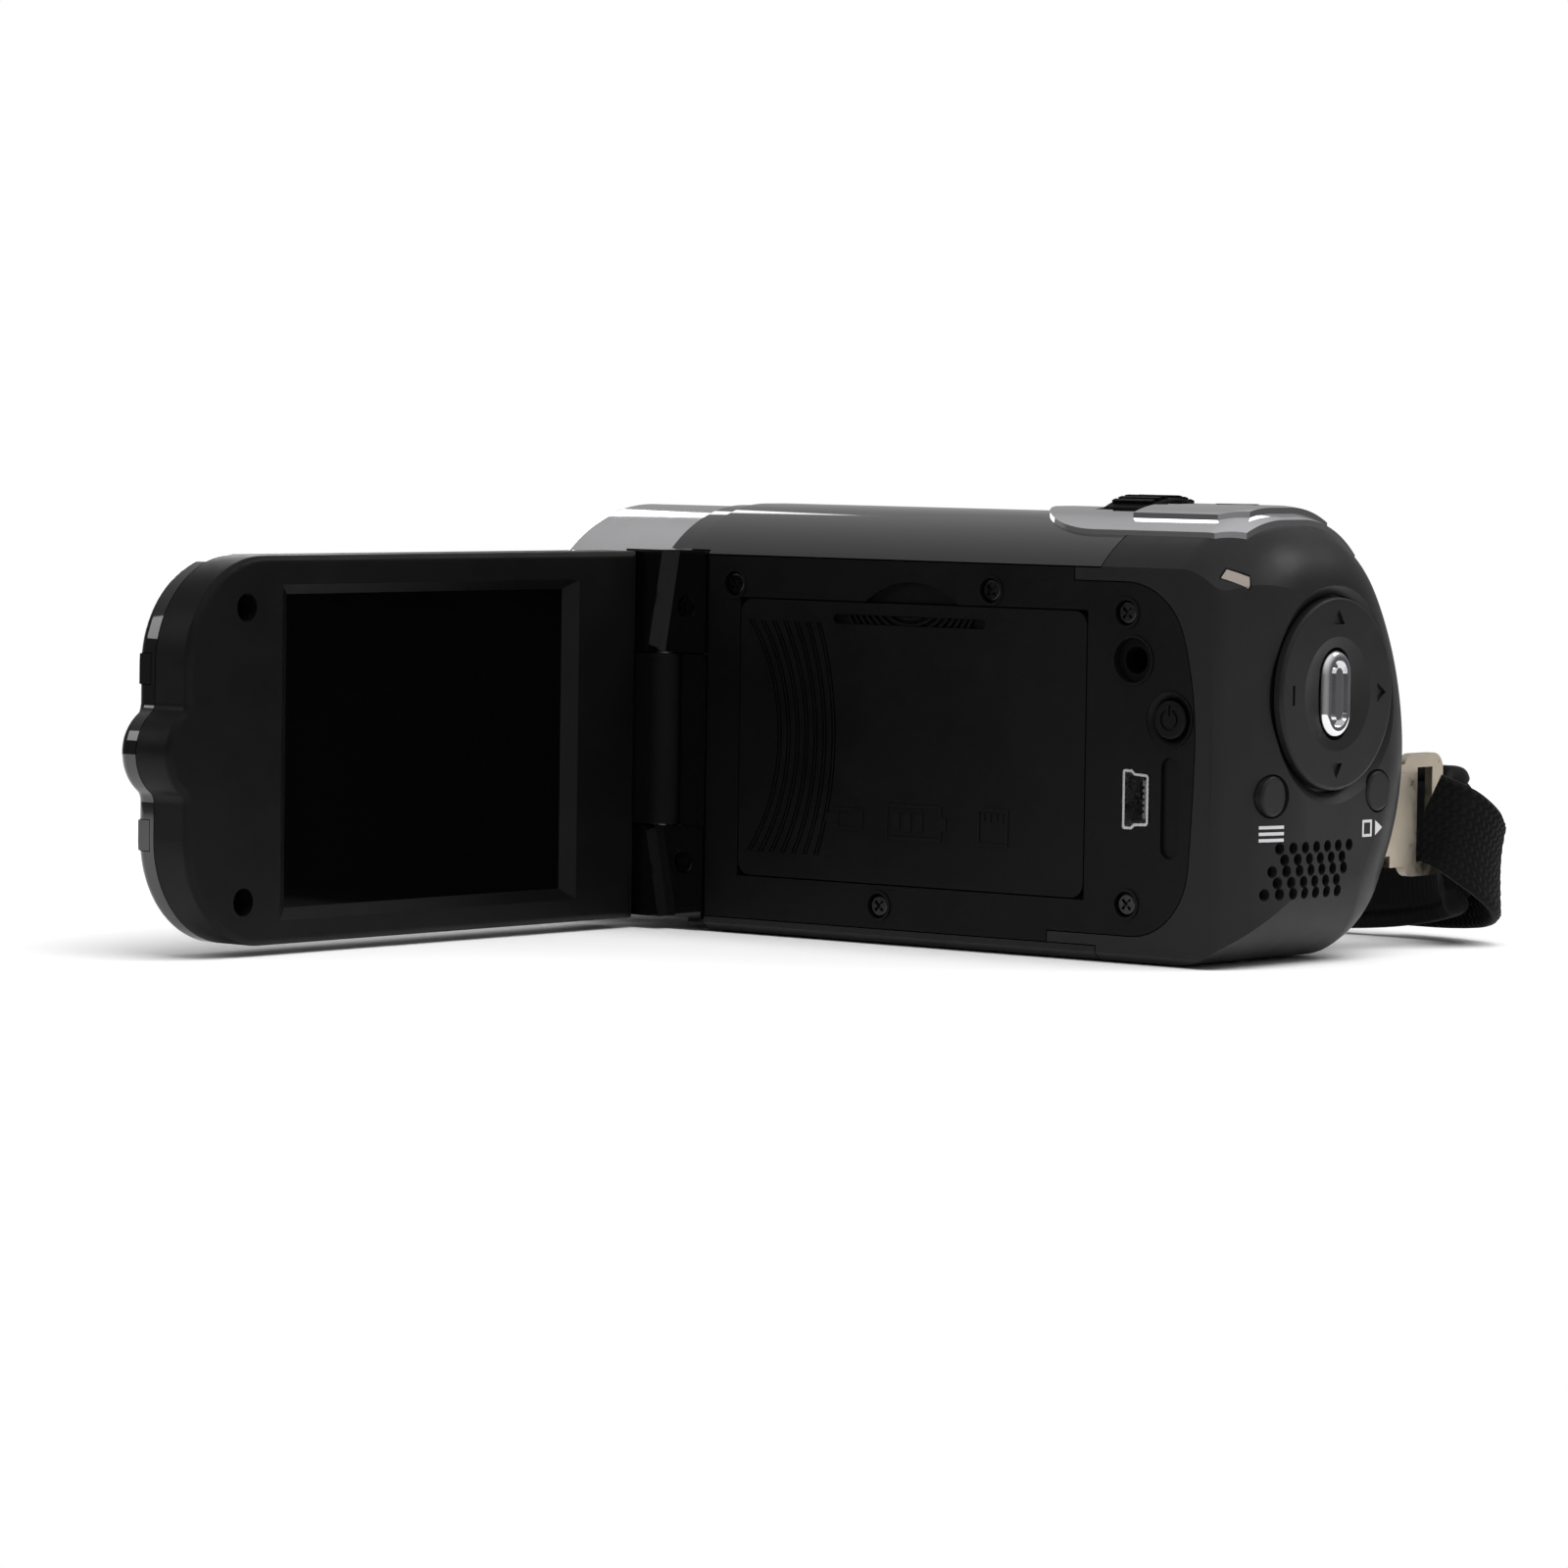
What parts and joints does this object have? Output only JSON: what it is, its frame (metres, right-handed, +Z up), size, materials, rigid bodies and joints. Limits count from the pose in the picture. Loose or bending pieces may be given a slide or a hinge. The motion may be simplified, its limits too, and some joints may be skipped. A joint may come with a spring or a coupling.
{
  "type": "compact camcorder",
  "caption": "Palm-held video camera with a fold-out swivelling screen, side battery door, rear control pad, top zoom lever and padded hand strap.",
  "frame": {"origin": "mouth of the tripod socket, in the flat base", "axes": "+Z up, lens towards -Y, screen opens out along +X (the operator's left), hand strap on -X"},
  "size_m": [0.1666, 0.1219, 0.0613],
  "materials": {
    "satin_black": "satin",
    "satin_charcoal": "satin",
    "matte_black": "matte",
    "gloss_black": "gloss",
    "bright_chrome": "polished",
    "clear_grey": "satin",
    "coated_glass": "polished",
    "sensor_glass": "gloss",
    "circuit_board": "satin",
    "clear_lamp": "polished",
    "lamp_chip": "satin",
    "bare_metal": "satin",
    "battery_wrap": "satin",
    "gold_contact": "satin",
    "card_plastic": "satin",
    "brass_nut": "satin",
    "white_insulator": "satin",
    "dark_screw": "satin",
    "nickel": "satin",
    "knit_pad": "knit",
    "nylon_webbing": "woven",
    "screen_glass": "gloss",
    "display_panel": "gloss",
    "ring_plastic": "satin"
  },
  "bodies": {
    "body": {"side_panel": "satin_black", "rear_shell": "satin_charcoal", "top_cover": "gloss_black", "grip_shell": "satin_charcoal", "front_band": "gloss_black", "top_plate": "bright_chrome", "light_pipe": "clear_grey", "lens_ring": "bright_chrome", "lens_bezel": "satin_black", "lens_barrel": "matte_black", "front_glass": "coated_glass", "lens_element_front": "coated_glass", "lens_element_middle": "coated_glass", "lens_element_rear": "coated_glass", "image_sensor": "sensor_glass", "sensor_board": "circuit_board", "lamp_window": "clear_lamp", "lamp_led": "lamp_chip", "microphone": "bare_metal", "battery_tray": "matte_black", "battery_pack": "battery_wrap", "battery_contacts": "gold_contact", "memory_card": "card_plastic", "card_socket": "bare_metal", "main_board": "circuit_board", "tripod_nut": "brass_nut", "key_board": "circuit_board", "tact_switches": "bare_metal", "speaker": "matte_black", "av_jack": "matte_black", "usb_socket": "bare_metal", "usb_tongue": "white_insulator", "rocker_axle": "bare_metal", "body_screws": "dark_screw", "hinge_ear_lower": "gloss_black", "hinge_ear_upper": "gloss_black", "hinge_pins": "bare_metal", "hinge_frame": "bare_metal", "strap_lug_rear": "nickel", "strap_lug_front": "nickel", "strap_pad": "knit_pad", "strap_webbing": "nylon_webbing"},
    "hinge_arm": {"hinge_block": "matte_black", "swivel_shaft": "bare_metal"},
    "screen": {"lcd_bezel": "satin_black", "lcd_cover": "gloss_black", "lcd_trims": "gloss_black", "lcd_glass": "screen_glass", "lcd_display": "display_panel", "lcd_screws": "dark_screw", "swivel_bush": "brass_nut"},
    "door": {"battery_door": "satin_black"},
    "power": {"power_button": "satin_black"},
    "menu": {"menu_button": "satin_charcoal"},
    "mode": {"mode_button": "satin_charcoal"},
    "nav_ring": {"nav_carrier": "ring_plastic"},
    "nav": {"nav_pad": "satin_charcoal"},
    "record": {"record_button": "bright_chrome"},
    "rocker": {"zoom_rocker": "matte_black"},
    "shutter": {"shutter_button": "bright_chrome"}
  },
  "joints": [
    {"name": "lcd_open", "type": "hinge", "parent": "body", "child": "hinge_arm", "pos_m": [0.017, -0.0432, 0.026], "axis": [0, 0, -1], "range_deg": [-90, 0]},
    {"name": "lcd_swivel", "type": "hinge", "parent": "hinge_arm", "child": "screen", "pos_m": [0.0209, -0.04975, 0.0266], "axis": [1, 0, 0], "range_deg": [-180, 90]},
    {"name": "battery_door_lift", "type": "slide", "parent": "body", "child": "door", "axis": [1, 0, 0], "range_m": [0, 0.0024]},
    {"name": "power_press", "type": "slide", "parent": "body", "child": "power", "axis": [-1, 0, 0], "range_m": [0, 0.0006], "stiffness_N_per_m": 300},
    {"name": "menu_press", "type": "slide", "parent": "body", "child": "menu", "axis": [0, -1, 0], "range_m": [0, 0.0005], "stiffness_N_per_m": 300},
    {"name": "mode_press", "type": "slide", "parent": "body", "child": "mode", "axis": [0, -1, 0], "range_m": [0, 0.0005], "stiffness_N_per_m": 300},
    {"name": "record_press", "type": "slide", "parent": "body", "child": "record", "axis": [0, -1, 0], "range_m": [0, 0.0006], "stiffness_N_per_m": 300},
    {"name": "shutter_press", "type": "slide", "parent": "body", "child": "shutter", "axis": [0, 0, -1], "range_m": [0, 0.0006], "stiffness_N_per_m": 300},
    {"name": "nav_tilt_side", "type": "hinge", "parent": "body", "child": "nav_ring", "pos_m": [-0.0022, 0.0524, 0.0356], "axis": [0, 0, 1], "range_deg": [-2.5, 2.5], "stiffness_Nm_per_rad": 0.4},
    {"name": "nav_tilt_up", "type": "hinge", "parent": "nav_ring", "child": "nav", "pos_m": [-0.0022, 0.0524, 0.0356], "axis": [1, 0, 0], "range_deg": [-2.5, 2.5], "stiffness_Nm_per_rad": 0.4},
    {"name": "zoom_rock", "type": "hinge", "parent": "body", "child": "rocker", "pos_m": [-0.0025, 0.0261, 0.046], "axis": [0, 1, 0], "range_deg": [-3, 3], "stiffness_Nm_per_rad": 0.5}
  ]
}
